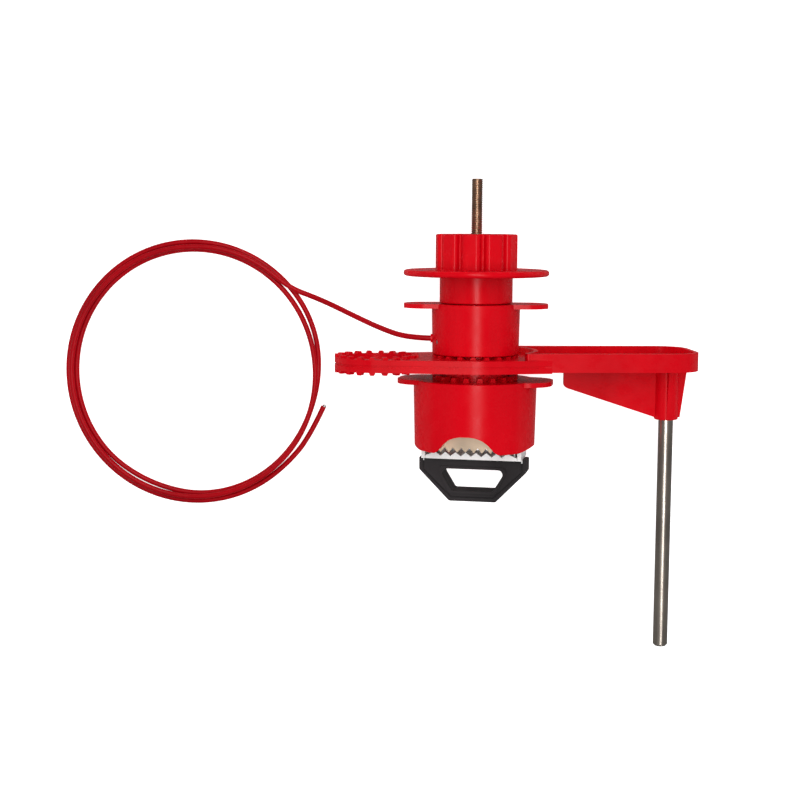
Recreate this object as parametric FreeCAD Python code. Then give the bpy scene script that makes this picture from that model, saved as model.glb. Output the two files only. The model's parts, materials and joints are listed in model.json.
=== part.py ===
"""Universal valve lockout clamp: a toothed swing arm with a blocking rod, a screw
clamp that grips a valve lever, and a coated cable for several valves at once.

Each piece is designed about the spindle: x points to the blocking rod, the spindle
runs along h, and the face of the ready clamp looks to minus y. lay_down() then puts
the clamp on its side, as it lies on a bench: the spindle along +Y, +Z up.
Lengths are millimetres, angles are degrees.
"""
import FreeCAD
import Part
import math
import os
from FreeCAD import Vector

# ---- fits -----------------------------------------------------------------
RUNNING_GAP = 0.25        # moulded parts that turn or slide on each other
SCREW_GAP = 0.06          # shanks in their own holes
TOOTH_GAP = 1.5           # face teeth apart when the clamp is loosened
SLEEVE_GAP = 0.2          # sleeve's foot over the arm's upper teeth
SINK = 0.4                # how far a moulded feature is rooted in its base

# ---- padlock holes, through the ears and the knob's flange ------------------
PADLOCK_HOLE_R = 4.0
PADLOCK_HOLE_AT = 31.5

# ---- clamp body -----------------------------------------------------------
BODY_R_TOP = 33.5
BODY_TAPER = 0.8          # how much narrower the foot is
BODY_HEIGHT = 37.7
BODY_WALL = 2.5
BODY_ROOF = 4.0
BODY_YAW = -9.0           # how the clamp body and its jaws are turned on the spindle
CAVITY_HALF_DEPTH = 17.0  # flat inner walls that back the fixed jaws
EAR_LENGTH = 8.5
EAR_THICK = 2.5
EAR_HALF_WIDTH = 17.0
EAR_CORNER_R = 13.0
THROAT_HALF_WIDTH = 16.5  # rounded cut-out, front and back, for the valve lever
THROAT_DEPTH = 9.8
THROAT_CROWN_INSET = 8.0
THROAT_CROWN_R = 14.0
THROAT_LOBE_R = 6.0
SIDE_CUT_HALF_WIDTH = 19.0
SIDE_CUT_DEPTH = 2.4

# ---- guide tube and sleeve ------------------------------------------------
GUIDE_R = 17.9
GUIDE_BORE_R = 12.0
GUIDE_HEADROOM = 0.5      # left over the guide when the sleeve is pressed down
SLEEVE_WALL = 5.25
SLEEVE_TAPER = 0.5
SLEEVE_TOP = 41.0
SLEEVE_ROOF = 3.3
SLEEVE_TRAVEL = 2.8       # the slide that shuts the face teeth
SLEEVE_EAR_EDGE = 7.5     # from a padlock hole's centre to the ear's end
SLEEVE_EAR_THICK = 2.4
SLEEVE_EAR_HALF_WIDTH = 13.0
SLEEVE_EAR_CORNER_R = 11.0
PIN_R = 1.25
PIN_H = 20.6
PIN_INSET = 0.1           # the pin's outer end under the sleeve's skin
PIN_REACH = 1.5           # its inner end short of the guide's bore
PIN_AZIMUTH = 207.5       # the sleeve's keying pin, round the spindle from +x

# ---- face teeth -----------------------------------------------------------
TEETH = 20
TOOTH_ROOT = 3.2
TOOTH_TIP = 2.0
TOOTH_START = 1.1         # from the guide tube to the teeth
TOOTH_LENGTH = 4.3
BODY_TOOTH_H = 2.3
ARM_TOOTH_H = 1.5
ARM_TOP_TOOTH_H = 1.3

# ---- swing arm ------------------------------------------------------------
ARM_REST = 6.0            # the arm's lie on the bench
PLATE_THICK = 6.9
RING_INSET = 2.0          # the ring inside the body's rim
DISC_AT = 53.6
DISC_RIM = 4.9            # the disc outside the guide's size
GROOVE_DEPTH = 0.5
TONGUE_LEAN = math.radians(7.0)
TONGUE_LENGTH = 6.5
TRAY_OVERLAP = 7.2        # the tray's root inside the ring
TRAY_END = 119.3
TRAY_HALF_WIDTH = 27.0
TRAY_CORNER_R = 15.0
TRAY_NEAR_CORNER_R = 1.0
TRAY_WALL = 2.4
TRAY_FLOOR = 2.6
TRAY_THICK = 10.0
TRAY_LIFT = 0.5           # the tray's underside over the plate's
BOSS_INSET = 13.7         # the rod's axis from the tray's far end
BOSS_R = 6.5
BOSS_FOOT = -22.4
RIB_THICK = 2.6
RIB_RISE = 1.2            # the ribs end above the boss's foot
GUSSET_START = 48.5
GUSSET_EDGE = 10.3
GUSSET_CORNER_R = 3.0
END_RIB_INSET = 2.7
END_RIB_TOE = 7.4
SIDE_RIB_REACH = 12.0
SCREW_BOSS_R = 5.6
SCREW_SEAT_RISE = 1.2     # the washer's seat over the tray's floor

# ---- blocking rod ---------------------------------------------------------
ROD_R = 4.0
ROD_TIP = -149.9
ROD_TOP = 1.5
ROD_CHAMFER = 1.0
ROD_SPIGOT_R = 3.5        # the end that is pressed into the boss
ROD_SCREW_R = 2.0
ROD_SCREW_HEAD_R = 3.5
ROD_SCREW_HEAD_H = 2.2
ROD_SCREW_DEPTH = 9.0
SOCKET_FLATS = 3.0
SOCKET_FLOOR = 0.8
WASHER_R = 4.2
WASHER_THICK = 0.8

# ---- knob -----------------------------------------------------------------
KNOB_GAP = 0.3
THRUST_R = 11.5
THRUST_DEPTH = 1.0        # the thrust washer's seat in the sleeve
THRUST_SIDE_GAP = 0.3
THRUST_FLOOR_GAP = 0.05
NECK_R = 19.7
NECK_LENGTH = 14.5
FLANGE_EDGE = 7.8         # from a padlock hole's centre to the flange's rim
FLANGE_THICK = 3.4
FLANGE_LAND = 0.1         # flat left between the rim's two rounds
FLANGE_HOLES = 8
GRIP_R = 22.5
GRIP_VALLEY_R = 18.6
GRIP_HEIGHT = 19.1
GRIP_EDGE_R = 1.8
LOBES = 10
LOBE_HALF_ANGLE = 13.6
VALLEY_HALF_ANGLE = 2.6
LOBE_AZIMUTH = 261.5
LOBE_ROUND = 2.4
VALLEY_ROUND = 0.8
KNOB_HOLLOW_R = 17.0
KNOB_WEB = 2.0
HUB_WALL = 2.4

# ---- screw and jaws -------------------------------------------------------
SCREW_R = 3.0
SCREW_REACH = 29.6        # how far the screw stands out of the knob
SCREW_CHAMFER = 0.6
THREAD_GAP = 0.1
NUT_FLATS = 10.0
NUT_H = 5.0
YOKE_TOP = -7.0
STRAP_THICK = 2.0
STRAP_HALF_WIDTH = 12.0
STRAP_INSET = 3.0         # outer face of the side straps inside the cavity's wall
FOOT_REACH = 12.0
RIVET_R = 5.0
RIVET_H = 2.0
FIXED_JAW_THICK = 2.0
FIXED_JAW_HALF_WIDTH = 23.5
FIXED_JAW_HEIGHT = 17.4
FIXED_JAW_CORNER_R = 2.0
FIXED_JAW_PROUD = 0.7     # the fixed teeth stand out of the body's foot
FIXED_TOOTH_H = 2.7
FIXED_TOOTH_PITCH = 4.5
FIXED_JAW_SCREW_AT = 20.0
FIXED_JAW_SCREW_DROP = 4.0
FIXED_JAW_SCREW_LENGTH = 8.0
BITE_GAP = 0.6            # between the two sets of teeth with the jaws shut
MOVING_TOOTH_H = 2.2
MOVING_TOOTH_PITCH = 5.6
MOVING_JAW_HALF_WIDTH = 25.0
JAW_CHANNEL_DEPTH = 2.4
JAW_WEB_THICK = 1.4

# ---- pull handle ----------------------------------------------------------
HANDLE_HALF_TOP = 29.5
HANDLE_HALF_FOOT = 12.8
HANDLE_SHOULDER = 7.0
HANDLE_HEIGHT = 24.0
HANDLE_HALF_DEPTH = 7.6
HANDLE_BODY_HALF_DEPTH = 6.7
HANDLE_RIM_HALF_DEPTH = 6.0
HANDLE_STEP = 2.0
HANDLE_GROOVE = 0.9       # width of the groove inside the rim
HANDLE_GROOVE_HALF_DEPTH = 5.2
HANDLE_EDGE_R = 0.8
HANDLE_CORNER_R = 2.0
WINDOW_TOP_EDGE = 6.0
WINDOW_HEIGHT = 12.2
WINDOW_HALF_TOP = 18.6
WINDOW_HALF_FOOT = 11.2
WINDOW_COLLAR = 1.4
WINDOW_TOP_R = 2.5
WINDOW_FOOT_R = 1.5
POCKET_GAP = 0.1          # the handle's pocket round the strap's feet
HANDLE_SCREW_AT = 22.0
HANDLE_SCREW_R = 1.6
HANDLE_SCREW_HEAD_R = 3.0
HANDLE_SCREW_HEAD_H = 1.6
HANDLE_SCREW_LENGTH = 9.0

# ---- cable ----------------------------------------------------------------
CABLE_R = 1.5
CABLE_H = 21.9
FERRULE_R = 2.3
FERRULE_GAP = 0.8         # the ferrule's inner end off the guide tube
FERRULE_PROUD = 0.5
COIL_CENTRE = (-162.0, -1.9)
COIL_SEMI_X = 77.0
COIL_SEMI_Y = 77.5
COIL_WIDTH = 11.0
COIL_HEIGHT = 7.0
CORE_R = 0.9
CORE_LENGTH = 3.0
CORE_START = (-87.3, -22.4, 1.6)
CORE_DIRECTION = (0.61, 0.79, 0.0)

# sizes that follow from the ones above
BODY_R_FOOT = BODY_R_TOP - BODY_TAPER
CAVITY_R = BODY_R_FOOT - BODY_WALL
EAR_REACH = BODY_R_TOP + EAR_LENGTH
RING_R = BODY_R_TOP - RING_INSET
SLIDING_BORE_R = GUIDE_R + RUNNING_GAP
SLEEVE_R_FOOT = SLIDING_BORE_R + SLEEVE_WALL
SLEEVE_R_TOP = SLEEVE_R_FOOT + SLEEVE_TAPER
SLEEVE_EAR_REACH = PADLOCK_HOLE_AT + SLEEVE_EAR_EDGE
DISC_R = GUIDE_R + DISC_RIM
TOOTH_IN_R = GUIDE_R + TOOTH_START
TOOTH_OUT_R = TOOTH_IN_R + TOOTH_LENGTH
TONGUE_END = RING_R + TONGUE_LENGTH
TRAY_START = RING_R - TRAY_OVERLAP
BOSS_AT = TRAY_END - BOSS_INSET
FERRULE_IN = GUIDE_R + FERRULE_GAP
FERRULE_OUT = SLEEVE_R_TOP + FERRULE_PROUD
FLANGE_R = PADLOCK_HOLE_AT + FLANGE_EDGE
STRAP_AT = CAVITY_R - STRAP_INSET
SPINDLE_Z = max(FLANGE_R, BODY_R_TOP)

# heights that follow from the ones above
ARM_TOOTH_TIP_H = BODY_TOOTH_H + TOOTH_GAP
PLATE_FOOT = ARM_TOOTH_TIP_H + ARM_TOOTH_H
PLATE_TOP = PLATE_FOOT + PLATE_THICK
TRAY_FOOT = PLATE_FOOT + TRAY_LIFT
TRAY_TOP = TRAY_FOOT + TRAY_THICK
SCREW_SEAT_H = TRAY_FOOT + TRAY_FLOOR + SCREW_SEAT_RISE
SLEEVE_FOOT = PLATE_TOP + ARM_TOP_TOOTH_H + SLEEVE_GAP
GUIDE_TOP = SLEEVE_TOP - SLEEVE_ROOF - SLEEVE_TRAVEL - GUIDE_HEADROOM
NECK_FOOT = SLEEVE_TOP + KNOB_GAP
DISC_FOOT = NECK_FOOT + NECK_LENGTH
GRIP_FOOT = DISC_FOOT + FLANGE_THICK
GRIP_TOP = GRIP_FOOT + GRIP_HEIGHT
SCREW_TOP = GRIP_TOP + SCREW_REACH
FIXED_TOOTH_TIP = -BODY_HEIGHT - FIXED_JAW_PROUD
FIXED_JAW_TOP = FIXED_TOOTH_TIP + FIXED_JAW_HEIGHT
FIXED_JAW_SCREW_H = FIXED_JAW_TOP - FIXED_JAW_SCREW_DROP
MOVING_TOOTH_TIP = FIXED_TOOTH_TIP - BITE_GAP
JAW_WEB_TOP = MOVING_TOOTH_TIP - JAW_CHANNEL_DEPTH
HANDLE_TOP = JAW_WEB_TOP - JAW_WEB_THICK


# ---- shapes ---------------------------------------------------------------
def cylinder(radius, low, high, x=0.0, y=0.0):
    return Part.makeCylinder(radius, high - low, Vector(x, y, low))


def block(x_low, x_high, y_low, y_high, low, high):
    return Part.makeBox(x_high - x_low, y_high - y_low, high - low, Vector(x_low, y_low, low))


def rounded_face(corners):
    """A flat face in the xy plane from (x, y, corner radius) going round once."""
    count = len(corners)
    starts, arcs, ends = [], [], []
    for i, (x, y, radius) in enumerate(corners):
        here = Vector(x, y, 0)
        before = Vector(*corners[i - 1][:2], 0).sub(here).normalize()
        after = Vector(*corners[(i + 1) % count][:2], 0).sub(here).normalize()
        half = before.getAngle(after) / 2
        if radius <= 0:
            starts.append(here)
            ends.append(here)
            arcs.append(None)
            continue
        reach = radius / math.tan(half)
        start = here.add(Vector(before).multiply(reach))
        end = here.add(Vector(after).multiply(reach))
        bisector = before.add(after).normalize()
        mid = here.add(bisector.multiply(radius / math.sin(half) - radius))
        starts.append(start)
        ends.append(end)
        arcs.append(Part.Arc(start, mid, end))
    edges = []
    for i in range(count):
        if arcs[i] is not None:
            edges.append(arcs[i].toShape())
        line_start, line_end = ends[i], starts[(i + 1) % count]
        if line_start.distanceToPoint(line_end) > 1e-6:
            edges.append(Part.LineSegment(line_start, line_end).toShape())
    return Part.Face(Part.Wire(edges))


def plate(corners, low, high):
    """An outline in plan, thick along the spindle."""
    face = rounded_face(corners)
    face.translate(Vector(0, 0, low))
    return face.extrude(Vector(0, 0, high - low))


def upright(corners, y_low, y_high):
    """An outline seen from the front, as (x, h, radius), thick from front to back."""
    face = rounded_face(corners)
    face.rotate(Vector(), Vector(1, 0, 0), 90)
    face.translate(Vector(0, y_high, 0))
    return face.extrude(Vector(0, y_low - y_high, 0))


def turned(corners):
    """A profile of (r, h, radius) turned about the spindle."""
    face = rounded_face(corners)
    face.rotate(Vector(), Vector(1, 0, 0), 90)
    return face.revolve(Vector(), Vector(0, 0, 1), 360)


def turn(shape, angle, x=0.0, y=0.0):
    copy = shape.copy()
    copy.rotate(Vector(x, y, 0), Vector(0, 0, 1), angle)
    return copy


def join(base, pieces):
    return base.fuse(pieces).removeSplitter()


def face_teeth(root, tip, in_r, out_r, first, x=0.0):
    """A ring of radial teeth with tapered flanks, standing from root to tip."""
    up = 1 if tip > root else -1
    slope = (TOOTH_ROOT - TOOTH_TIP) / 2 / abs(tip - root)
    wide = TOOTH_ROOT / 2 + slope * SINK
    low = root - up * SINK
    profile = [Vector(in_r, -wide, low), Vector(in_r, wide, low),
               Vector(in_r, TOOTH_TIP / 2, tip), Vector(in_r, -TOOTH_TIP / 2, tip)]
    face = Part.Face(Part.makePolygon(profile + profile[:1]))
    tooth = face.extrude(Vector(out_r - in_r, 0, 0))
    ring = []
    for i in range(TEETH):
        one = turn(tooth, first + i * 360 / TEETH)
        one.translate(Vector(x, 0, 0))
        ring.append(one)
    return ring


def hexagon(flats, low, high):
    corner = flats / math.sqrt(3)
    corners = [(corner * math.cos(math.radians(60 * i)), corner * math.sin(math.radians(60 * i)), 0)
               for i in range(6)]
    return plate(corners, low, high)


def hex_nut(low):
    return hexagon(NUT_FLATS, low, low + NUT_H).cut(cylinder(SCREW_R + THREAD_GAP, low, low + NUT_H))


def ears(reach, half_width, corner_r, low, high):
    """A plate with rounded ends that stands out on both sides."""
    return plate([(-reach, -half_width, corner_r), (reach, -half_width, corner_r),
                  (reach, half_width, corner_r), (-reach, half_width, corner_r)], low, high)


def arch(half_width, depth):
    """Radius of the circle whose cap is that wide and deep."""
    return (half_width ** 2 + depth ** 2) / (2 * depth)


def one_solid(shape, name):
    if len(shape.Solids) != 1:
        raise ValueError(f"{name} came apart into {len(shape.Solids)} solids")
    return shape.Solids[0]


# ---- clamp body -----------------------------------------------------------
def clamp_body():
    shell = turned([(0, -BODY_HEIGHT, 0), (BODY_R_FOOT, -BODY_HEIGHT, 0.9),
                    (BODY_R_TOP, 0, 0.5), (0, 0, 0)])
    rim = ears(EAR_REACH, EAR_HALF_WIDTH, EAR_CORNER_R, -EAR_THICK, 0)
    cavity = cylinder(CAVITY_R, -BODY_HEIGHT, -BODY_ROOF)
    cavity = cavity.common(block(-CAVITY_R, CAVITY_R, -CAVITY_HALF_DEPTH, CAVITY_HALF_DEPTH,
                                 -BODY_HEIGHT, -BODY_ROOF))
    body = shell.fuse(rim).cut(cavity)
    crown, foot = THROAT_DEPTH - BODY_HEIGHT, -BODY_HEIGHT
    half, shoulder = THROAT_HALF_WIDTH, THROAT_HALF_WIDTH - THROAT_CROWN_INSET
    throat = upright([(-CAVITY_R, foot - 1, 0), (-CAVITY_R, foot, 0), (-half, foot, THROAT_LOBE_R),
                      (-shoulder, crown, THROAT_CROWN_R), (shoulder, crown, THROAT_CROWN_R),
                      (half, foot, THROAT_LOBE_R), (CAVITY_R, foot, 0), (CAVITY_R, foot - 1, 0)],
                     -EAR_REACH, EAR_REACH)
    side_r = arch(SIDE_CUT_HALF_WIDTH, SIDE_CUT_DEPTH)
    side_cut = cylinder(side_r, -EAR_REACH, EAR_REACH)
    side_cut.rotate(Vector(), Vector(0, 1, 0), 90)
    side_cut.translate(Vector(0, 0, -BODY_HEIGHT + SIDE_CUT_DEPTH - side_r))
    body = body.cut(throat).cut(side_cut)
    for place in fixed_jaw_screw_places():
        body = body.cut(fixed_jaw_screw(*place, SCREW_GAP))
    guide = cylinder(GUIDE_R, -BODY_ROOF, GUIDE_TOP)
    slot_half = PIN_R + RUNNING_GAP
    slot = block(0, GUIDE_R + 1, -slot_half, slot_half,
                 PIN_H - slot_half - SLEEVE_TRAVEL, PIN_H + slot_half)
    guide = guide.cut(turn(slot, PIN_AZIMUTH - BODY_YAW))
    body = turn(body.fuse(guide).cut(cylinder(GUIDE_BORE_R, -BODY_ROOF, GUIDE_TOP)), BODY_YAW)
    body = join(body, face_teeth(0, BODY_TOOTH_H, TOOTH_IN_R, TOOTH_OUT_R, ARM_REST))
    return one_solid(body, "clamp_body")


def saw_edge(half_width, pitch, root, tip):
    """Points along a toothed edge from -half_width to half_width."""
    count = int(2 * half_width / pitch)
    start = -count * pitch / 2
    points = [(-half_width, root, 0)]
    for i in range(count):
        points.append((start + (i + 0.5) * pitch, tip, 0))
        if i < count - 1:
            points.append((start + (i + 1) * pitch, root, 0))
    return points + [(half_width, root, 0)]


def fixed_jaw(side):
    """One toothed plate; side is -1 in front and 1 behind."""
    edge = saw_edge(FIXED_JAW_HALF_WIDTH, FIXED_TOOTH_PITCH,
                    FIXED_TOOTH_TIP + FIXED_TOOTH_H, FIXED_TOOTH_TIP)
    corners = edge + [(FIXED_JAW_HALF_WIDTH, FIXED_JAW_TOP, FIXED_JAW_CORNER_R),
                      (-FIXED_JAW_HALF_WIDTH, FIXED_JAW_TOP, FIXED_JAW_CORNER_R)]
    inner = CAVITY_HALF_DEPTH - FIXED_JAW_THICK
    y_low, y_high = sorted((side * inner, side * CAVITY_HALF_DEPTH))
    jaw = upright(corners, y_low, y_high)
    for x, y_side in fixed_jaw_screw_places():
        jaw = jaw.cut(fixed_jaw_screw(x, y_side, SCREW_GAP))
    return turn(one_solid(jaw, "fixed_jaw"), BODY_YAW)


def fixed_jaw_screw_places():
    return [(x, side) for x in (-FIXED_JAW_SCREW_AT, FIXED_JAW_SCREW_AT) for side in (-1, 1)]


def fixed_jaw_screw(x, side, gap=0.0):
    """Shank through a fixed jaw into the wall; with no gap it has its head too."""
    start = CAVITY_HALF_DEPTH - FIXED_JAW_THICK
    shank = Part.makeCylinder(HANDLE_SCREW_R + gap, FIXED_JAW_SCREW_LENGTH,
                              Vector(x, side * start, FIXED_JAW_SCREW_H), Vector(0, side, 0))
    if gap:
        return shank
    head = Part.makeCylinder(HANDLE_SCREW_HEAD_R, HANDLE_SCREW_HEAD_H,
                             Vector(x, side * start, FIXED_JAW_SCREW_H), Vector(0, -side, 0))
    return shank.fuse(head).removeSplitter()


def fixed_jaw_screws():
    return Part.makeCompound([turn(fixed_jaw_screw(*place).Solids[0], BODY_YAW)
                              for place in fixed_jaw_screw_places()])


# ---- sleeve ---------------------------------------------------------------
def sleeve():
    barrel = turned([(0, SLEEVE_FOOT, 0), (SLEEVE_R_FOOT, SLEEVE_FOOT, 0.6),
                     (SLEEVE_R_TOP, SLEEVE_TOP, 0.5), (0, SLEEVE_TOP, 0)])
    rim = ears(SLEEVE_EAR_REACH, SLEEVE_EAR_HALF_WIDTH, SLEEVE_EAR_CORNER_R,
               SLEEVE_TOP - SLEEVE_EAR_THICK, SLEEVE_TOP)
    bore = cylinder(SLIDING_BORE_R, SLEEVE_FOOT, SLEEVE_TOP - SLEEVE_ROOF)
    shape = barrel.fuse(rim).cut(bore)
    shape = shape.cut(cylinder(SCREW_R + 2 * RUNNING_GAP, SLEEVE_FOOT, SLEEVE_TOP))
    shape = shape.cut(cylinder(THRUST_R + THRUST_SIDE_GAP, SLEEVE_TOP - THRUST_DEPTH, SLEEVE_TOP))
    for side in (-1, 1):
        shape = shape.cut(cylinder(PADLOCK_HOLE_R, SLEEVE_FOOT, SLEEVE_TOP, side * PADLOCK_HOLE_AT))
    shape = shape.cut(radial_pin(PIN_R, GUIDE_R, SLEEVE_R_TOP, PIN_H, PIN_AZIMUTH))
    shape = shape.cut(radial_pin(FERRULE_R, GUIDE_R, SLEEVE_R_TOP + 1, CABLE_H, 180))
    return one_solid(shape.removeSplitter(), "sleeve")


def radial_pin(radius, start, end, height, azimuth):
    pin = Part.makeCylinder(radius, end - start, Vector(start, 0, height), Vector(1, 0, 0))
    return turn(pin, azimuth)


def sleeve_pin():
    return radial_pin(PIN_R, GUIDE_BORE_R + PIN_REACH, SLEEVE_R_FOOT - PIN_INSET, PIN_H, PIN_AZIMUTH)


def cable_ferrule():
    return radial_pin(FERRULE_R, FERRULE_IN, FERRULE_OUT, CABLE_H, 180)


# ---- swing arm ------------------------------------------------------------
def link_plan(inset, low, high):
    """Disc, ring and the straight sides between them, drawn in by inset."""
    disc, ring = DISC_R - inset, RING_R - inset
    lean = math.asin((ring - disc) / DISC_AT)
    sides = [(-DISC_AT - disc * math.sin(lean), disc * math.cos(lean), 0),
             (-ring * math.sin(lean), ring * math.cos(lean), 0)]
    mirrored = [(x, -y, 0) for x, y, _ in reversed(sides)]
    plan = plate(sides + mirrored, low, high)
    near, far = (ring * math.sin(TONGUE_LEAN), ring * math.cos(TONGUE_LEAN)), TRAY_HALF_WIDTH - inset
    tongue = plate([(0, -ring * 0.9, 0), (near[0], -near[1], 0), (TONGUE_END, -far, 0),
                    (TONGUE_END, far, 0), (near[0], near[1], 0), (0, ring * 0.9, 0)], low, high)
    round_ends = [cylinder(disc, low, high, -DISC_AT), cylinder(ring, low, high)]
    return plan.fuse(round_ends + [tongue])


def tray_plan(inset, low, high):
    near = TRAY_NEAR_CORNER_R - inset
    far = TRAY_CORNER_R - inset
    half = TRAY_HALF_WIDTH - inset
    return plate([(TRAY_START + inset, -half, near), (TRAY_END - inset, -half, far),
                  (TRAY_END - inset, half, far), (TRAY_START + inset, half, near)], low, high)


def blocking_arm():
    middle = (PLATE_FOOT + PLATE_TOP) / 2
    arm = link_plan(0, PLATE_FOOT, middle - GROOVE_DEPTH)
    arm = arm.fuse([link_plan(GROOVE_DEPTH, middle - GROOVE_DEPTH, middle + GROOVE_DEPTH),
                    link_plan(0, middle + GROOVE_DEPTH, PLATE_TOP)])
    arm = arm.fuse(tray_plan(0, TRAY_FOOT, TRAY_TOP))
    arm = arm.cut(cylinder(RING_R, PLATE_TOP, TRAY_TOP + 1))
    recess_floor = TRAY_FOOT + TRAY_FLOOR
    recess = tray_plan(TRAY_WALL, recess_floor, TRAY_TOP)
    recess = recess.cut(cylinder(RING_R + TRAY_WALL, recess_floor, TRAY_TOP))
    arm = arm.cut(recess).fuse(boss_and_ribs())
    for x in (0, -DISC_AT):
        arm = arm.cut(cylinder(SLIDING_BORE_R, PLATE_FOOT, PLATE_TOP, x))
    arm = arm.cut(cylinder(ROD_SPIGOT_R, BOSS_FOOT, ROD_TOP, BOSS_AT))
    arm = arm.cut(cylinder(ROD_SCREW_R + SCREW_GAP, ROD_TOP, TRAY_TOP, BOSS_AT))
    arm = arm.cut(cylinder(WASHER_R + SCREW_GAP, SCREW_SEAT_H, TRAY_TOP, BOSS_AT))
    teeth = []
    for x, out_r in ((0, TOOTH_OUT_R), (-DISC_AT, DISC_R)):
        first = 180 / TEETH
        teeth += face_teeth(PLATE_FOOT, ARM_TOOTH_TIP_H, TOOTH_IN_R, out_r, first, x)
        teeth += face_teeth(PLATE_TOP, PLATE_TOP + ARM_TOP_TOOTH_H, TOOTH_IN_R, out_r, first, x)
    return turn(one_solid(join(arm, teeth), "blocking_arm"), ARM_REST)


def boss_and_ribs():
    """The rod's boss under the tray, its ribs and the screw boss in the recess."""
    root = TRAY_FOOT + SINK
    toe = BOSS_FOOT + RIB_RISE
    half = RIB_THICK / 2
    boss = turned([(0, BOSS_FOOT, 0), (BOSS_R, BOSS_FOOT, 0.8), (BOSS_R, root, 0), (0, root, 0)])
    boss.translate(Vector(BOSS_AT, 0, 0))
    gusset = upright([(GUSSET_START, root, 0), (GUSSET_START, TRAY_FOOT - GUSSET_EDGE, GUSSET_CORNER_R),
                      (BOSS_AT - BOSS_R, toe, 0), (BOSS_AT, toe, 0), (BOSS_AT, root, 0)], -half, half)
    end_rib = upright([(BOSS_AT, root, 0), (BOSS_AT, toe, 0), (BOSS_AT + END_RIB_TOE, toe, 0),
                       (TRAY_END - END_RIB_INSET, root, 0)], -half, half)
    side_rib = upright([(BOSS_AT, root, 0), (BOSS_AT, toe, 0), (BOSS_AT + BOSS_R, toe, 0),
                        (BOSS_AT + SIDE_RIB_REACH, root, 0)], -half, half)
    side_ribs = [turn(side_rib, angle, BOSS_AT) for angle in (-90, 90)]
    screw_boss = cylinder(SCREW_BOSS_R, TRAY_FOOT, SCREW_SEAT_H + WASHER_THICK + ROD_SCREW_HEAD_H,
                          BOSS_AT)
    return [boss, gusset, end_rib, screw_boss] + side_ribs


def blocking_rod():
    rod = turned([(0, ROD_TIP, 0), (ROD_R - ROD_CHAMFER, ROD_TIP, 0),
                  (ROD_R, ROD_TIP + ROD_CHAMFER, 0), (ROD_R, BOSS_FOOT, 0),
                  (ROD_SPIGOT_R, BOSS_FOOT, 0), (ROD_SPIGOT_R, ROD_TOP, 0), (0, ROD_TOP, 0)])
    rod = rod.cut(cylinder(ROD_SCREW_R + SCREW_GAP, ROD_TOP - ROD_SCREW_DEPTH - 1, ROD_TOP))
    rod.translate(Vector(BOSS_AT, 0, 0))
    return turn(rod, ARM_REST)


def rod_screw():
    seat = SCREW_SEAT_H + WASHER_THICK
    shank = cylinder(ROD_SCREW_R, ROD_TOP - ROD_SCREW_DEPTH, seat, BOSS_AT)
    head = cylinder(ROD_SCREW_HEAD_R, seat, seat + ROD_SCREW_HEAD_H, BOSS_AT)
    socket = hexagon(SOCKET_FLATS, seat + SOCKET_FLOOR, seat + ROD_SCREW_HEAD_H)
    socket.translate(Vector(BOSS_AT, 0, 0))
    return turn(one_solid(shank.fuse(head).cut(socket).removeSplitter(), "rod_screw"), ARM_REST)


def rod_washer():
    top = SCREW_SEAT_H + WASHER_THICK
    washer = cylinder(WASHER_R, SCREW_SEAT_H, top, BOSS_AT)
    hole = cylinder(ROD_SCREW_R + SCREW_GAP, SCREW_SEAT_H, top, BOSS_AT)
    return turn(washer.cut(hole), ARM_REST)


# ---- knob -----------------------------------------------------------------
def grip_plan():
    """Round the knob once: two corners to each lobe and two to each valley."""
    step = 180 / LOBES
    lobe = ((GRIP_VALLEY_R, VALLEY_HALF_ANGLE - step, VALLEY_ROUND),
            (GRIP_R, -LOBE_HALF_ANGLE, LOBE_ROUND), (GRIP_R, LOBE_HALF_ANGLE, LOBE_ROUND),
            (GRIP_VALLEY_R, step - VALLEY_HALF_ANGLE, VALLEY_ROUND))
    corners = []
    for i in range(LOBES):
        for radius, angle, round_r in lobe:
            around = math.radians(LOBE_AZIMUTH + i * 360 / LOBES + angle)
            corners.append((radius * math.cos(around), radius * math.sin(around), round_r))
    return corners


def knob():
    neck = turned([(0, NECK_FOOT, 0), (NECK_R, NECK_FOOT, 0.6), (NECK_R, DISC_FOOT + SINK, 0),
                   (0, DISC_FOOT + SINK, 0)])
    rim = FLANGE_THICK / 2 - FLANGE_LAND
    flange = turned([(0, DISC_FOOT, 0), (FLANGE_R, DISC_FOOT, rim), (FLANGE_R, GRIP_FOOT, rim),
                     (0, GRIP_FOOT, 0)])
    grip = plate(grip_plan(), GRIP_FOOT - SINK, GRIP_TOP)
    crown = turned([(0, DISC_FOOT, 0), (GRIP_R, DISC_FOOT, 0), (GRIP_R, GRIP_TOP, GRIP_EDGE_R),
                    (0, GRIP_TOP, 0)])
    shape = join(neck, [flange, grip.common(crown)])
    hub_r = NUT_FLATS / math.sqrt(3) + HUB_WALL
    web = DISC_FOOT - KNOB_WEB
    hollow = cylinder(KNOB_HOLLOW_R, NECK_FOOT, web)
    shape = shape.cut(hollow.cut(cylinder(hub_r, NECK_FOOT, web)))
    shape = shape.cut(cylinder(SCREW_R + 2 * THREAD_GAP, NECK_FOOT, GRIP_TOP))
    shape = shape.cut(hexagon(NUT_FLATS + 2 * SCREW_GAP, NECK_FOOT, NECK_FOOT + NUT_H))
    for i in range(FLANGE_HOLES):
        hole = cylinder(PADLOCK_HOLE_R, DISC_FOOT, GRIP_FOOT, PADLOCK_HOLE_AT)
        shape = shape.cut(turn(hole, i * 360 / FLANGE_HOLES))
    return one_solid(shape, "knob")


def knob_nut():
    return hex_nut(NECK_FOOT)


def thrust_washer():
    low = SLEEVE_TOP - THRUST_DEPTH + THRUST_FLOOR_GAP
    return cylinder(THRUST_R, low, NECK_FOOT).cut(cylinder(SCREW_R + 2 * THREAD_GAP, low, NECK_FOOT))


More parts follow.
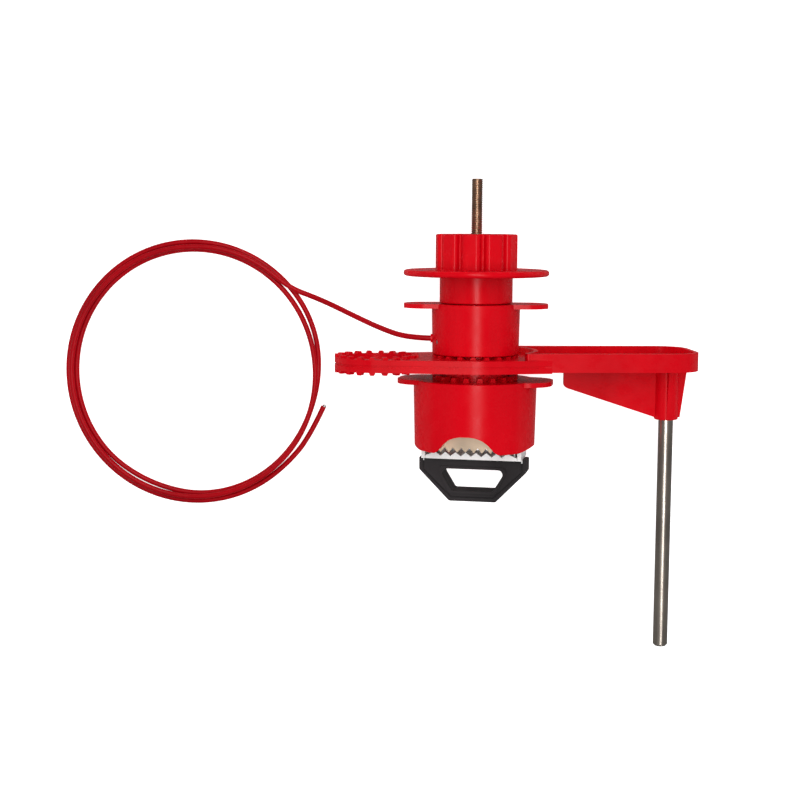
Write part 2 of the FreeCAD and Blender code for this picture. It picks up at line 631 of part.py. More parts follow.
# ---- screw, stirrup, moving jaw and pull handle ---------------------------
def threaded_rod():
    foot = YOKE_TOP - STRAP_THICK - RIVET_H
    rod = turned([(0, foot, 0), (RIVET_R, foot, 0.8), (RIVET_R, foot + RIVET_H, 0),
                  (SCREW_R, foot + RIVET_H, 0), (SCREW_R, SCREW_TOP - SCREW_CHAMFER, 0),
                  (SCREW_R - SCREW_CHAMFER, SCREW_TOP, 0), (0, SCREW_TOP, 0)])
    return rod


def yoke_nut():
    return hex_nut(YOKE_TOP)


def jaw_frame():
    """A bent strap: yoke across the top, two sides, and feet turned in under the jaw."""
    yoke = block(-STRAP_AT, STRAP_AT, -STRAP_HALF_WIDTH, STRAP_HALF_WIDTH,
                 YOKE_TOP - STRAP_THICK, YOKE_TOP)
    pieces = []
    for side in (-1, 1):
        x_low, x_high = sorted((side * STRAP_AT, side * (STRAP_AT - STRAP_THICK)))
        pieces.append(block(x_low, x_high, -STRAP_HALF_WIDTH, STRAP_HALF_WIDTH,
                            HANDLE_TOP, YOKE_TOP))
        pieces.append(block(x_low, x_high, -HANDLE_RIM_HALF_DEPTH, HANDLE_RIM_HALF_DEPTH,
                            HANDLE_TOP - STRAP_THICK, YOKE_TOP - STRAP_THICK))
        x_low, x_high = sorted((side * STRAP_AT, side * (STRAP_AT - FOOT_REACH)))
        pieces.append(block(x_low, x_high, -HANDLE_RIM_HALF_DEPTH, HANDLE_RIM_HALF_DEPTH,
                            HANDLE_TOP - STRAP_THICK, HANDLE_TOP))
    frame = join(yoke, pieces)
    bends = [edge for edge in frame.Edges
             if abs(edge.Vertexes[0].X) > STRAP_AT - 0.1 and abs(edge.Vertexes[0].Z - YOKE_TOP) < 0.1
             and abs(edge.Vertexes[-1].Z - YOKE_TOP) < 0.1 and edge.Length > STRAP_HALF_WIDTH]
    frame = frame.makeFillet(STRAP_THICK * 0.9, bends)
    frame = frame.cut(cylinder(SCREW_R + SCREW_GAP, YOKE_TOP - STRAP_THICK, YOKE_TOP))
    for hole in handle_screw_shanks(SCREW_GAP):
        frame = frame.cut(hole)
    return turn(one_solid(frame, "jaw_frame"), BODY_YAW)


def moving_jaw():
    """A channel with its two flanges toothed along the top."""
    edge = saw_edge(MOVING_JAW_HALF_WIDTH, MOVING_TOOTH_PITCH,
                    MOVING_TOOTH_TIP - MOVING_TOOTH_H, MOVING_TOOTH_TIP)
    side_plan = edge + [(MOVING_JAW_HALF_WIDTH, HANDLE_TOP, 0.6),
                        (-MOVING_JAW_HALF_WIDTH, HANDLE_TOP, 0.6)]
    jaw = block(-MOVING_JAW_HALF_WIDTH, MOVING_JAW_HALF_WIDTH, -STRAP_HALF_WIDTH,
                STRAP_HALF_WIDTH, HANDLE_TOP, JAW_WEB_TOP)
    front = upright(side_plan, -STRAP_HALF_WIDTH, -STRAP_HALF_WIDTH + JAW_WEB_THICK)
    rear = upright(side_plan, STRAP_HALF_WIDTH - JAW_WEB_THICK, STRAP_HALF_WIDTH)
    jaw = join(jaw, [front, rear])
    for hole in handle_screw_shanks(SCREW_GAP):
        jaw = jaw.cut(hole)
    return turn(one_solid(jaw, "moving_jaw"), BODY_YAW)


def handle_screw_shanks(gap=0.0):
    low = JAW_WEB_TOP - HANDLE_SCREW_LENGTH
    return [cylinder(HANDLE_SCREW_R + gap, low, JAW_WEB_TOP, side * HANDLE_SCREW_AT)
            for side in (-1, 1)]


def handle_screws():
    screws = []
    for side, shank in zip((-1, 1), handle_screw_shanks()):
        head = cylinder(HANDLE_SCREW_HEAD_R, JAW_WEB_TOP, JAW_WEB_TOP + HANDLE_SCREW_HEAD_H,
                        side * HANDLE_SCREW_AT)
        screws.append(turn(shank.fuse(head).removeSplitter().Solids[0], BODY_YAW))
    return Part.makeCompound(screws)


def handle_outline(inset, half_depth):
    top, foot = HANDLE_TOP, HANDLE_TOP - HANDLE_HEIGHT + inset
    wide, narrow = HANDLE_HALF_TOP - inset, HANDLE_HALF_FOOT - inset / 2
    shoulder = top - HANDLE_SHOULDER
    corner_r = HANDLE_CORNER_R
    corners = [(-wide, top, HANDLE_EDGE_R), (-wide, shoulder, corner_r), (-narrow, foot, corner_r),
               (narrow, foot, corner_r), (wide, shoulder, corner_r), (wide, top, HANDLE_EDGE_R)]
    return upright(corners, -half_depth, half_depth)


def handle_window(grow, half_depth):
    high = HANDLE_TOP - WINDOW_TOP_EDGE + grow
    low = high - WINDOW_HEIGHT - 2 * grow
    wide, narrow = WINDOW_HALF_TOP + grow, WINDOW_HALF_FOOT + grow
    return upright([(-wide, high, WINDOW_TOP_R), (-narrow, low, WINDOW_FOOT_R),
                    (narrow, low, WINDOW_FOOT_R), (wide, high, WINDOW_TOP_R)],
                   -half_depth, half_depth)


def jaw_handle():
    """A loop handle: a thin outer rim, a thicker body and a collar round the window."""
    handle = handle_outline(0, HANDLE_RIM_HALF_DEPTH)
    handle = handle.fuse(handle_outline(HANDLE_STEP, HANDLE_BODY_HALF_DEPTH))
    collar = handle_window(WINDOW_COLLAR, HANDLE_HALF_DEPTH)
    handle = handle.fuse(collar).cut(handle_window(0, HANDLE_HALF_DEPTH + 1))
    groove = handle_outline(HANDLE_STEP, HANDLE_HALF_DEPTH)
    groove = groove.cut(handle_outline(HANDLE_STEP + HANDLE_GROOVE, HANDLE_HALF_DEPTH))
    groove = groove.cut(block(-HANDLE_HALF_TOP, HANDLE_HALF_TOP, -HANDLE_GROOVE_HALF_DEPTH,
                              HANDLE_GROOVE_HALF_DEPTH, HANDLE_TOP - HANDLE_HEIGHT, HANDLE_TOP))
    handle = handle.cut(groove)
    half_depth = HANDLE_RIM_HALF_DEPTH + POCKET_GAP
    for side in (-1, 1):
        x_low, x_high = sorted((side * (STRAP_AT + POCKET_GAP),
                                side * (STRAP_AT - FOOT_REACH - POCKET_GAP)))
        handle = handle.cut(block(x_low, x_high, -half_depth, half_depth,
                                  HANDLE_TOP - STRAP_THICK, HANDLE_TOP))
    for hole in handle_screw_shanks(SCREW_GAP):
        handle = handle.cut(hole)
    return turn(one_solid(handle.removeSplitter(), "jaw_handle"), BODY_YAW)


# ---- cable, drawn where it lies: x and h as above, z up from the bench ------
CABLE_ROUTE = [
    (-37.5, 22.1, 38.5),
    (-52.0, 26.2, 29.0),
    (-66.5, 31.7, 17.4),
    (-80.0, 37.5, 9.8),
    (-91.5, 42.1, 6.0),
    (-101.8, 45.7, 4.9),
]


def rounded_path(points, report):
    """Straight runs joined by tangent arcs, each as large as its runs allow."""
    edges = []
    start = points[0]
    for before, here, after in zip(points, points[1:], points[2:]):
        back, ahead = before.sub(here), after.sub(here)
        half_turn = (math.pi - back.getAngle(ahead)) / 2
        reach = 0.45 * min(back.Length, ahead.Length)
        radius = reach / math.tan(half_turn)
        back.normalize()
        ahead.normalize()
        arc_start = here.add(Vector(back).multiply(reach))
        arc_end = here.add(Vector(ahead).multiply(reach))
        towards = Vector(back).add(ahead).normalize()
        middle = here.add(towards.multiply(radius / math.cos(half_turn) - radius))
        edges.append(Part.LineSegment(start, arc_start).toShape())
        edges.append(Part.Arc(arc_start, middle, arc_end).toShape())
        report.append(round(radius, 1))
        start = arc_end
    edges.append(Part.LineSegment(start, points[-1]).toShape())
    return Part.Wire(edges)


def cable_lead():
    points = [Vector(-FERRULE_OUT, CABLE_H, SPINDLE_Z)] + [Vector(*point) for point in CABLE_ROUTE]
    radii = []
    path = rounded_path(points, radii)
    section = Part.Wire(Part.Circle(points[0], points[1].sub(points[0]), CABLE_R).toShape())
    tube = path.makePipeShell([section], True, False)
    print("cable radii", radii, "length", round(path.Length, 1), "volume", round(tube.Volume, 1),
          "section times length", round(math.pi * CABLE_R ** 2 * path.Length, 1))
    return one_solid(tube, "cable_lead")


def oval(semi_x, semi_y):
    x, y = COIL_CENTRE
    curve = Part.Ellipse(Vector(x, y + semi_y, 0), Vector(x + semi_x, y, 0), Vector(x, y, 0))
    return Part.Face(Part.Wire(curve.toShape()))


def cable_coil():
    outer = oval(COIL_SEMI_X, COIL_SEMI_Y)
    inner = oval(COIL_SEMI_X - COIL_WIDTH, COIL_SEMI_Y - COIL_WIDTH)
    return one_solid(outer.cut(inner).extrude(Vector(0, 0, COIL_HEIGHT)), "cable_coil")


def cable_core():
    """The bare steel strand that shows at the cable's cut end."""
    return Part.makeCylinder(CORE_R, CORE_LENGTH, Vector(*CORE_START), Vector(*CORE_DIRECTION))


# ---- the whole clamp ------------------------------------------------------
def lay_down(shape):
    laid = shape.copy()
    laid.rotate(Vector(), Vector(1, 0, 0), -90)
    laid.translate(Vector(0, 0, SPINDLE_Z))
    return laid


clamp_pieces = {
    "clamp_body": clamp_body(),
    "fixed_jaw_front": fixed_jaw(-1),
    "fixed_jaw_rear": fixed_jaw(1),
    "fixed_jaw_screws": fixed_jaw_screws(),
    "sleeve": sleeve(),
    "sleeve_pin": sleeve_pin(),
    "cable_ferrule": cable_ferrule(),
    "blocking_arm": blocking_arm(),
    "blocking_rod": blocking_rod(),
    "rod_screw": rod_screw(),
    "rod_washer": rod_washer(),
    "knob": knob(),
    "knob_nut": knob_nut(),
    "thrust_washer": thrust_washer(),
    "threaded_rod": threaded_rod(),
    "yoke_nut": yoke_nut(),
    "jaw_frame": jaw_frame(),
    "moving_jaw": moving_jaw(),
    "handle_screws": handle_screws(),
    "jaw_handle": jaw_handle(),
}
pieces = {name: lay_down(shape) for name, shape in clamp_pieces.items()}
extent = Part.makeCompound(list(pieces.values())).optimalBoundingBox(False)
SPINDLE_X = -(extent.XMin + extent.XMax) / 2
SPINDLE_Y = -(extent.YMin + extent.YMax) / 2
pieces.update({"cable_lead": cable_lead(), "cable_coil": cable_coil(), "cable_core": cable_core()})
os.makedirs("parts", exist_ok=True)
for name, shape in pieces.items():
    shape.translate(Vector(SPINDLE_X, SPINDLE_Y, 0))
    shape.exportStep(f"parts/{name}.step")
print("spindle at", round(SPINDLE_X, 3), round(SPINDLE_Y, 3), round(SPINDLE_Z, 3))
print("without the cable", [round(v, 2) for v in (extent.XMin, extent.XMax, extent.YMin, extent.YMax,
                                                 extent.ZMin, extent.ZMax)])
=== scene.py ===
"""Looks of the valve lockout clamp: finishes, the coiled cable, the screw's thread and the stage."""
import json
import math

import bpy
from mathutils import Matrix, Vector


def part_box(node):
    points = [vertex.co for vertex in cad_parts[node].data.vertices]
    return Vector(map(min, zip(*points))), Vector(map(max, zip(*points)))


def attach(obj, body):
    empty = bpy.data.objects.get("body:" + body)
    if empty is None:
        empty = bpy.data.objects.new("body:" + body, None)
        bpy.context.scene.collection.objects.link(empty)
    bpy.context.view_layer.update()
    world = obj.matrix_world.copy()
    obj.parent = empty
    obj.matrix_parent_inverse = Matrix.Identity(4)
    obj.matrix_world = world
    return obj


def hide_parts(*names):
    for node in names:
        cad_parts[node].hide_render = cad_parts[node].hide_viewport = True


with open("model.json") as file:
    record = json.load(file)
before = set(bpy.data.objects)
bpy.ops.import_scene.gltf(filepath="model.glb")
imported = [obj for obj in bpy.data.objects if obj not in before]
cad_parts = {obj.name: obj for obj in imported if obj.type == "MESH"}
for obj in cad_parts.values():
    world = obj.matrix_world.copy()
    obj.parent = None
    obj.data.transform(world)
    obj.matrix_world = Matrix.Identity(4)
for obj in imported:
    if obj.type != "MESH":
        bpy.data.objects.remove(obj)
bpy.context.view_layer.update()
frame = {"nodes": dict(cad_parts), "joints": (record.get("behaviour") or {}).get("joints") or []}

bl_info = {
    "name": "Valve lockout clamp",
    "version": (1, 0, 0),
    "blender": (4, 5, 0),
    "location": "View3D > Sidebar > Lockout",
    "description": "Finishes, cable and screw thread of a valve lockout clamp",
    "category": "Object",
}

MM = 0.001
JOINTS = {joint["name"]: joint for joint in frame["joints"]}
PIVOT = Vector(JOINTS["arm_swing"]["pos_m"])
ARM_PIVOT_OVER_DECK = 8.7 * MM
DECK_Y = PIVOT.y - ARM_PIVOT_OVER_DECK     # the clamp body's top face, where the face teeth stand
NODES = frame["nodes"]


def spindle_point(x, along, above_floor):
    """A point given in mm: across from the spindle, along it from the deck, and up from the floor."""
    return Vector((PIVOT.x + x * MM, DECK_Y + along * MM, above_floor * MM))


def smooth(start, end, value):
    share = min(1.0, max(0.0, (value - start) / (end - start)))
    return share * share * (3 - 2 * share)


# ---- sizes and colours that a user would change ---------------------------
def colour(name, description, value):
    return bpy.props.FloatVectorProperty(name=name, description=description, default=value,
                                         subtype="COLOR", size=3, min=0.0, max=1.0)


def length(name, description, value):
    return bpy.props.FloatProperty(name=name, description=description, default=value,
                                   unit="LENGTH", subtype="DISTANCE", min=0.0)


class LockoutColours(bpy.types.PropertyGroup):
    """Colours of the mouldings, the metals and the cable"""
    moulding: colour("Moulding", "Red nylon of the body, sleeve, arm and knob", (0.64, 0.0006, 0.0070))
    moulding_dark: colour("Moulding, deep", "Where the pigment lies denser", (0.56, 0.0004, 0.0058))
    coating: colour("Cable coating", "Red vinyl over the wire rope", (0.40, 0.001, 0.006))
    handle: colour("Pull handle", "Charcoal nylon", (0.030, 0.026, 0.0275))
    bar: colour("Blocking rod", "Drawn steel bar", (0.60, 0.53, 0.46))
    screw: colour("Screw", "Yellow-brown passivated thread", (0.62, 0.43, 0.30))
    jaw: colour("Moving jaw", "Bright stamped steel", (0.96, 0.955, 0.945))
    fixed_jaw: colour("Fixed jaws", "Yellow passivated steel", (0.66, 0.52, 0.38))
    zinc: colour("Fasteners", "Bright zinc plate", (0.70, 0.69, 0.67))


class LockoutCable(bpy.types.PropertyGroup):
    """The cable and its coil"""
    diameter: length("Diameter", "Outside diameter of the coated cable", 3.0 * MM)
    reach_across: length("Coil across", "Half width of the coil's middle turn", 70.5 * MM)
    reach_along: length("Coil along", "Half length of the coil's middle turn", 71.9 * MM)
    turns: bpy.props.FloatProperty(name="Turns", description="Turns in the loose coil",
                                   default=2.8, min=1.0, max=3.0)


class LockoutThread(bpy.types.PropertyGroup):
    """The screw's thread"""
    pitch: length("Pitch", "Distance from crest to crest", 1.0 * MM)
    crest: length("Crest radius", "Radius over the thread's crests", 3.06 * MM)
    root: length("Root radius", "Radius at the thread's root", 2.62 * MM)


class LockoutStage(bpy.types.PropertyGroup):
    """Floor, lights and camera"""
    floor: colour("Floor", "Pale table top", (0.86, 0.86, 0.86))
    distance: length("Camera height", "Height of the camera over the floor", 0.8736)
    lens: bpy.props.FloatProperty(name="Lens", description="Focal length", default=69.26,
                                  min=10.0, max=300.0, unit="CAMERA")


# ---- procedural finishes --------------------------------------------------
NOISE_LOW, NOISE_HIGH = 0.3, 0.7     # most of a noise texture's values lie between these
MOULDED_GLOSS = 0.10


def new_finish(name):
    finish = bpy.data.materials.new(name)
    finish.use_nodes = True
    tree = finish.node_tree
    tree.nodes.clear()
    output = tree.nodes.new("ShaderNodeOutputMaterial")
    shader = tree.nodes.new("ShaderNodeBsdfPrincipled")
    tree.links.new(shader.outputs["BSDF"], output.inputs["Surface"])
    return finish, tree, shader


def noise(tree, scale, detail=3.0, stretch=(1.0, 1.0, 1.0)):
    """Noise over the object's own space, drawn out along an axis by a small stretch value."""
    place = tree.nodes.new("ShaderNodeTexCoord")
    mapping = tree.nodes.new("ShaderNodeMapping")
    mapping.inputs["Scale"].default_value = stretch
    texture = tree.nodes.new("ShaderNodeTexNoise")
    texture.inputs["Scale"].default_value = scale
    texture.inputs["Detail"].default_value = detail
    tree.links.new(place.outputs["Object"], mapping.inputs["Vector"])
    tree.links.new(mapping.outputs["Vector"], texture.inputs["Vector"])
    return texture.outputs["Fac"]


def ramp(tree, factor, stops):
    node = tree.nodes.new("ShaderNodeValToRGB")
    elements = node.color_ramp.elements
    for element, (place, value) in zip(elements, stops):
        element.position = place
        element.color = (*value, 1.0)
    tree.links.new(factor, node.inputs["Fac"])
    return node.outputs["Color"]


def spread(tree, factor, low, high):
    node = tree.nodes.new("ShaderNodeMapRange")
    node.inputs["From Min"].default_value = NOISE_LOW
    node.inputs["From Max"].default_value = NOISE_HIGH
    node.inputs["To Min"].default_value = low
    node.inputs["To Max"].default_value = high
    tree.links.new(factor, node.inputs["Value"])
    return node.outputs["Result"]


def bump(tree, shader, height, distance, strength):
    node = tree.nodes.new("ShaderNodeBump")
    node.inputs["Distance"].default_value = distance
    node.inputs["Strength"].default_value = strength
    tree.links.new(height, node.inputs["Height"])
    tree.links.new(node.outputs["Normal"], shader.inputs["Normal"])


def moulded(name, light, deep, rough=(0.22, 0.32), grain=1400.0, grain_depth=0.00002):
    """Injection-moulded nylon: slight flow shading, a fine spark-eroded grain, a soft gloss."""
    finish, tree, shader = new_finish(name)
    flow = noise(tree, 28.0, 4.0, (1.0, 0.35, 1.0))
    tree.links.new(ramp(tree, flow, ((0.36, deep), (0.58, light))), shader.inputs["Base Color"])
    tree.links.new(spread(tree, noise(tree, 160.0, 4.0), *rough), shader.inputs["Roughness"])
    shader.inputs["Specular IOR Level"].default_value = MOULDED_GLOSS
    bump(tree, shader, noise(tree, grain, 2.0), grain_depth, 0.5)
    return finish


def metal(name, light, deep, rough, grain, stretch, depth=0.00001, spots=40.0, metallic=1.0):
    """Metal with its working marks drawn out along one axis and faint stains."""
    finish, tree, shader = new_finish(name)
    stain = noise(tree, spots, 5.0)
    tree.links.new(ramp(tree, stain, ((0.32, deep), (0.62, light))), shader.inputs["Base Color"])
    shader.inputs["Metallic"].default_value = metallic
    marks = noise(tree, grain, 3.0, stretch)
    tree.links.new(spread(tree, marks, *rough), shader.inputs["Roughness"])
    bump(tree, shader, marks, depth, 0.6)
    return finish


def dress(node_name, finish):
    slots = NODES[node_name].data.materials
    slots.clear()
    slots.append(finish)


def darker(value, share):
    return tuple(channel * share for channel in value)


class LOCKOUT_OT_mouldings(bpy.types.Operator):
    """Give the nylon mouldings their red and charcoal finishes"""
    bl_idname = "lockout.mouldings"
    bl_label = "Mouldings"

    def execute(self, context):
        colours = context.scene.lockout_colours
        body_red = moulded("red_nylon", colours.moulding, colours.moulding_dark)
        knob_red = moulded("red_nylon_knob", colours.moulding, colours.moulding_dark, (0.20, 0.30))
        arm_red = moulded("red_nylon_arm", colours.moulding, colours.moulding_dark, (0.24, 0.36),
                          1000.0)
        charcoal = moulded("charcoal_nylon", colours.handle, darker(colours.handle, 0.7),
                           (0.42, 0.58), 900.0, 0.00004)
        for node in ("clamp_body", "sleeve", "cable_ferrule"):
            dress(node, body_red)
        dress("knob", knob_red)
        dress("blocking_arm", arm_red)
        dress("jaw_handle", charcoal)
        return {"FINISHED"}


class LOCKOUT_OT_metals(bpy.types.Operator):
    """Give the rod, the jaws and the fasteners their metal finishes"""
    bl_idname = "lockout.metals"
    bl_label = "Metals"

    def execute(self, context):
        colours = context.scene.lockout_colours
        bar = metal("drawn_bar", colours.bar, darker(colours.bar, 0.72), (0.24, 0.36), 900.0,
                    (1.0, 0.03, 1.0))
        jaw = metal("bright_stamping", colours.jaw, darker(colours.jaw, 0.93), (0.26, 0.34), 700.0,
                    (0.08, 1.0, 1.0), 0.000002, metallic=0.15)
        fixed = metal("passivated_stamping", colours.fixed_jaw, darker(colours.fixed_jaw, 0.75),
                      (0.34, 0.48), 600.0, (0.1, 1.0, 1.0))
        zinc = metal("bright_zinc", colours.zinc, darker(colours.zinc, 0.8), (0.22, 0.36), 800.0,
                     (1.0, 1.0, 1.0))
        dress("blocking_rod", bar)
        dress("jaw_frame", jaw)
        dress("moving_jaw", jaw)
        for node in ("fixed_jaw_front", "fixed_jaw_rear"):
            dress(node, fixed)
        for node in ("fixed_jaw_screws", "handle_screws", "sleeve_pin", "rod_screw", "rod_washer",
                     "knob_nut", "yoke_nut", "thrust_washer", "cable_core"):
            dress(node, zinc)
        return {"FINISHED"}


# ---- the screw's thread ---------------------------------------------------
ROOT_SHARE = 0.16            # of a half pitch that stays at the root
FLANK_SHARE = 0.5            # of a half pitch that the flank takes
END_CHAMFER = 0.15 * MM      # how far the screw's end is turned down below the root
HEAD_HEIGHT = 2.0 * MM       # the riveted foot
HEAD_ROUND = 0.8 * MM
HEAD_ROUND_MIDDLE = (0.25 * MM, 0.2 * MM)     # up from the foot's face, in from its rim
PLAIN_SHANK = 2.2 * MM       # between the foot and the thread's start
THREAD_AROUND = 24
THREAD_ROWS_PER_PITCH = 8


def mesh_piece(name, vertices, faces, finish):
    mesh = bpy.data.meshes.new(name)
    mesh.from_pydata(vertices, [], faces)
    mesh.validate()
    mesh.materials.append(finish)
    piece = bpy.data.objects.new(name, mesh)
    bpy.context.scene.collection.objects.link(piece)
    for polygon in mesh.polygons:
        polygon.use_smooth = True
    return piece


def ring_skin(rings, around):
    """Faces over rings of points, with the first and last ring closed."""
    faces = []
    for i in range(rings - 1):
        for j in range(around):
            a, b = i * around + j, i * around + (j + 1) % around
            faces.append((a, a + around, b + around, b))
    faces.append(tuple(range(around)))
    last = (rings - 1) * around
    faces.append(tuple(range(last + around - 1, last - 1, -1)))
    return faces


def thread_radius(turn_share, root, crest, end_gap):
    """Radius at a share of a pitch: narrow root, straight flanks, flat crest, turned-down end."""
    flank = abs(2 * (turn_share % 1.0) - 1)
    rise = min(1.0, max(0.0, (flank - ROOT_SHARE) / FLANK_SHARE))
    return min(root + (crest - root) * rise, root - END_CHAMFER + end_gap)


class LOCKOUT_OT_screw(bpy.types.Operator):
    """Cut the thread on the screw, with its riveted foot"""
    bl_idname = "lockout.screw"
    bl_label = "Screw thread"

    def execute(self, context):
        thread = context.scene.lockout_thread
        colours = context.scene.lockout_colours
        low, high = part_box("threaded_rod")
        centre_x, centre_z = (low.x + high.x) / 2, (low.z + high.z) / 2
        head_radius = (high.x - low.x) / 2
        around = THREAD_AROUND
        step = thread.pitch / THREAD_ROWS_PER_PITCH
        up, inward = HEAD_ROUND_MIDDLE
        # each row: place along the screw, radius, and whether the thread is cut there
        profile = [
            (low.y, head_radius - HEAD_ROUND, False),
            (low.y + up, head_radius - inward, False),
            (low.y + HEAD_ROUND, head_radius, False),
            (low.y + HEAD_HEIGHT, head_radius, False),
            (low.y + HEAD_HEIGHT, thread.crest, False),
        ]
        start = low.y + HEAD_HEIGHT + PLAIN_SHANK
        profile.append((start, thread.crest, False))
        rows = int((high.y - start) / step)
        profile += [(start + (i + 1) * step, 0.0, True) for i in range(rows)]
        vertices = []
        for y, radius, cut in profile:
            for j in range(around):
                angle = math.tau * j / around
                here = radius
                if cut:
                    share = (y - start) / thread.pitch - j / around
                    here = thread_radius(share, thread.root, thread.crest, high.y - y)
                vertices.append((centre_x + here * math.cos(angle), y, centre_z + here * math.sin(angle)))
        finish = metal("passivated_thread", colours.screw, darker(colours.screw, 0.55), (0.26, 0.44),
                       500.0, (1.0, 1.0, 1.0), 0.00002, 60.0)
        screw = mesh_piece("screw_thread", vertices, ring_skin(len(profile), around), finish)
        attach(screw, "jaw")
        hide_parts("threaded_rod")
        return {"FINISHED"}


# ---- the cable ------------------------------------------------------------
CABLE_EXIT = (-24.4, 21.9, 39.3)
LEAD_ROUTE = (
    (-37.5, 22.1, 38.5),
    (-52.0, 26.2, 29.0),
    (-66.5, 31.7, 17.4),
    (-80.0, 37.5, 9.8),
    (-91.5, 42.1, 6.0),
    (-101.8, 45.7, 4.9),
)
MEET_COIL = (-109.3, 50.3, 4.9)
COIL_MIDDLE = (-160.7, -1.9)
COIL_START = 58.0          # degrees round the coil where the lead joins it
FLOOR_TURN_HEIGHT = 1.55
TOP_TURN_HEIGHT = 4.9
POINTS_PER_TURN = 24

# Degrees round the coil, counted on from its +X side through all the turns, and distances in mm.
SECOND_TURN_SETTLED = 570             # from here it lies on the floor, inside the first
FIRST_MOVES_IN = (335, 385)
FIRST_COMES_DOWN = (345, 405)
SECOND_MOVES_OUT = (695, 750)
CUT_END_SPRINGS_OUT = (1035, 1066)
LEAD_BULGE = (1.6, 62, 16)            # distance, middle and width of a slight swelling
SECOND_TURN_DIP = (1.3, 608, 18)
CUT_END_SPRING = 2.6


def swelling(size, angle):
    distance, middle, width = size
    return distance * math.exp(-((angle - middle) / width) ** 2)


def coil_offset(angle):
    """How far a turn lies outside the coil's middle line, and its height, in mm.

    The first turn lies on the second; the second and the third lie on the floor, side by side."""
    far_side = (1 - math.cos(math.radians(angle))) / 2
    top = (0.2 + 0.3 * far_side, TOP_TURN_HEIGHT - 0.9 * far_side)
    inner = (-0.2 - 1.7 * far_side, FLOOR_TURN_HEIGHT)
    outer = (3.6 - 0.8 * far_side, FLOOR_TURN_HEIGHT)
    if angle < SECOND_TURN_SETTLED:
        out = top[0] + (inner[0] - top[0]) * smooth(*FIRST_MOVES_IN, angle)
        height = top[1] + (inner[1] - top[1]) * smooth(*FIRST_COMES_DOWN, angle)
    else:
        out = inner[0] + (outer[0] - inner[0]) * smooth(*SECOND_MOVES_OUT, angle)
        height = FLOOR_TURN_HEIGHT
    out += swelling(LEAD_BULGE, angle)
    out -= swelling(SECOND_TURN_DIP, angle)
    out += CUT_END_SPRING * smooth(*CUT_END_SPRINGS_OUT, angle)
    return out, height


def coil_points(cable):
    points = []
    whole = 360 * cable.turns
    count = round(POINTS_PER_TURN * cable.turns)
    for i in range(count + 1):
        angle = COIL_START + whole * i / count
        out, height = coil_offset(angle)
        around = math.radians(angle)
        points.append(spindle_point(
            COIL_MIDDLE[0] + (cable.reach_across / MM + out) * math.cos(around),
            COIL_MIDDLE[1] + (cable.reach_along / MM + out) * math.sin(around), height))
    return points


def smooth_curve(name, points, radius, finish):
    curve = bpy.data.curves.new(name, "CURVE")
    curve.dimensions = "3D"
    curve.bevel_depth = 1.0     # each point's own radius gives the thickness
    curve.bevel_resolution = 5
    curve.resolution_u = 10
    curve.use_fill_caps = True
    curve.materials.append(finish)
    spline = curve.splines.new("NURBS")
    spline.points.add(len(points) - 1)
    for point, place in zip(spline.points, points):
        point.co = (*place, 1.0)
        point.radius = radius
    spline.order_u = 3
    spline.use_endpoint_u = True
    spline.use_smooth = True
    piece = bpy.data.objects.new(name, curve)
    bpy.context.scene.collection.objects.link(piece)
    return piece


def line_length(piece):
    """Length of a curve's own line, read with its bevel off."""
    curve = piece.data
    depth, curve.bevel_depth = curve.bevel_depth, 0.0
    bpy.context.view_layer.update()
    line = bpy.data.meshes.new_from_object(piece)
    curve.bevel_depth = depth
    places = [vertex.co.copy() for vertex in line.vertices]
    bpy.data.meshes.remove(line)
    return sum((b - a).length for a, b in zip(places, places[1:]))


class LOCKOUT_OT_cable(bpy.types.Operator):
    """Lay the coated cable from its ferrule into the loose coil"""
    bl_idname = "lockout.cable"
    bl_label = "Cable"

    def execute(self, context):
        cable = context.scene.lockout_cable
        colours = context.scene.lockout_colours
        route = [spindle_point(*point) for point in (CABLE_EXIT, *LEAD_ROUTE, MEET_COIL)]
        coating = moulded("red_vinyl", colours.coating, darker(colours.coating, 0.8), (0.28, 0.40),
                          700.0, 0.00003)
        piece = smooth_curve("coated_cable", route + coil_points(cable), cable.diameter / 2, coating)
        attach(piece, "sleeve")
        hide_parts("cable_lead", "cable_coil")
        round(line_length(piece), 4)
        return {"FINISHED"}


# ---- the stage ------------------------------------------------------------
FLOOR_GLOW = 0.78
ROOM_LIGHT = 0.17
CAMERA_LEFT_OF_SPINDLE = 3.38 * MM
CAMERA_ALONG = 107.2 * MM
CAMERA_TILT = (-6.7, 2.61, 0.33)     # degrees about X, Y and Z


def area_light(name, place, target, size_x, size_y, power):
    light = bpy.data.lights.new(name, "AREA")
    light.shape = "RECTANGLE"
    light.size, light.size_y = size_x, size_y
    light.energy = power
    lamp = bpy.data.objects.new(name, light)
    lamp.location = place
    lamp.rotation_euler = (Vector(target) - Vector(place)).to_track_quat("-Z", "Y").to_euler()
    bpy.context.scene.collection.objects.link(lamp)
    return lamp


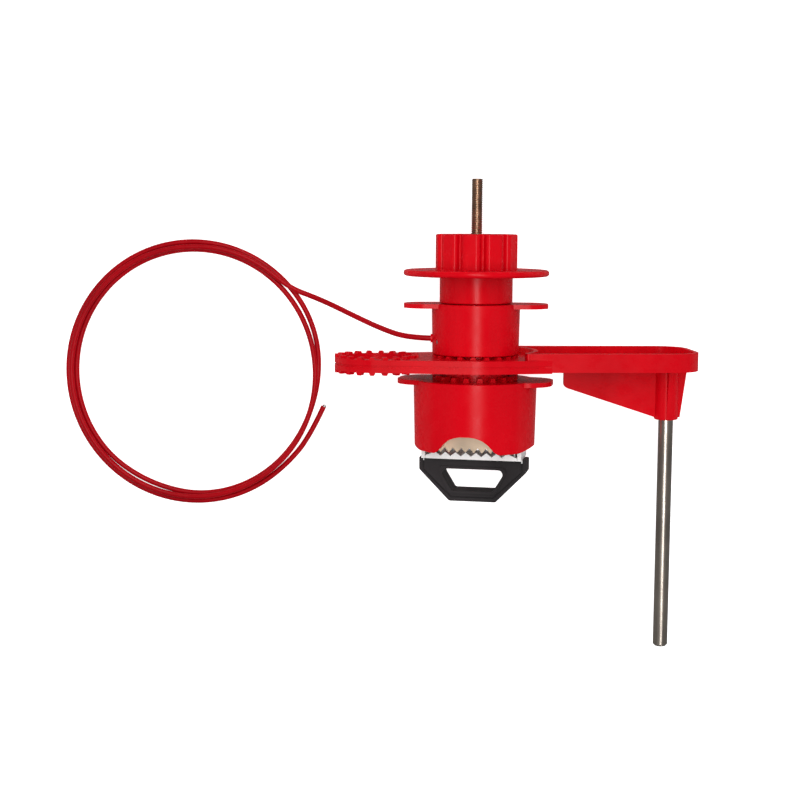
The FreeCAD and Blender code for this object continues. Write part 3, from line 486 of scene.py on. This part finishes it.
class LOCKOUT_OT_stage(bpy.types.Operator):
    """Set the floor, the lights and the camera"""
    bl_idname = "lockout.stage"
    bl_label = "Stage"

    def execute(self, context):
        stage = context.scene.lockout_stage
        bpy.ops.mesh.primitive_plane_add(size=6.0, location=(0, 0, 0))
        floor = context.object
        floor.name = "floor"
        finish, _, shader = new_finish("pale_table")
        shader.inputs["Base Color"].default_value = (*stage.floor, 1.0)
        shader.inputs["Roughness"].default_value = 0.8
        shader.inputs["Emission Color"].default_value = (1.0, 1.0, 1.0, 1.0)
        shader.inputs["Emission Strength"].default_value = FLOOR_GLOW
        floor.data.materials.append(finish)
        floor.visible_glossy = False

        world = bpy.data.worlds.new("studio")
        context.scene.world = world
        world.use_nodes = True
        background = world.node_tree.nodes["Background"]
        background.inputs["Color"].default_value = (1.0, 1.0, 1.0, 1.0)
        background.inputs["Strength"].default_value = ROOM_LIGHT

        area_light("long_softbox", (-0.02, 0.35, 1.1), (0, 0.1, 0.03), 0.28, 1.3, 9.8)
        area_light("rod_strip", (0.15, -0.25, 1.1), (0.08, -0.1, 0.04), 0.08, 0.8, 1.6)
        for side, name in ((-1, "left_fill"), (1, "right_fill")):
            fill = area_light(name, (side * 0.9, 0.1, 0.7), (0, 0, 0.03), 0.7, 0.9, 2.1)
            fill.visible_glossy = False

        lens = bpy.data.cameras.new("camera")
        lens.sensor_width = 36.0
        lens.lens = stage.lens
        camera = bpy.data.objects.new("camera", lens)
        camera.location = (PIVOT.x - CAMERA_LEFT_OF_SPINDLE, CAMERA_ALONG, stage.distance)
        camera.rotation_euler = tuple(math.radians(angle) for angle in CAMERA_TILT)
        context.scene.collection.objects.link(camera)
        context.scene.camera = camera
        context.scene.view_settings.view_transform = "Standard"
        return {"FINISHED"}


class LOCKOUT_PT_panel(bpy.types.Panel):
    """The clamp's pieces and finishes"""
    bl_idname = "LOCKOUT_PT_panel"
    bl_label = "Valve lockout clamp"
    bl_space_type = "VIEW_3D"
    bl_region_type = "UI"
    bl_category = "Lockout"

    def draw(self, context):
        for operator in OPERATORS:
            self.layout.operator(operator.bl_idname)


OPERATORS = (LOCKOUT_OT_mouldings, LOCKOUT_OT_metals, LOCKOUT_OT_screw, LOCKOUT_OT_cable,
             LOCKOUT_OT_stage)
SETTINGS = {"lockout_colours": LockoutColours, "lockout_cable": LockoutCable,
            "lockout_thread": LockoutThread, "lockout_stage": LockoutStage}


def register():
    for group in SETTINGS.values():
        bpy.utils.register_class(group)
    for name, group in SETTINGS.items():
        setattr(bpy.types.Scene, name, bpy.props.PointerProperty(type=group))
    for cls in (*OPERATORS, LOCKOUT_PT_panel):
        bpy.utils.register_class(cls)


def unregister():
    for cls in (LOCKOUT_PT_panel, *reversed(OPERATORS)):
        bpy.utils.unregister_class(cls)
    for name, group in SETTINGS.items():
        delattr(bpy.types.Scene, name)
        bpy.utils.unregister_class(group)


def main():
    register()
    for operator in OPERATORS:
        group, name = operator.bl_idname.split(".")
        getattr(getattr(bpy.ops, group), name)()
    bpy.context.view_layer.update()


if __name__ == "__main__":
    main()
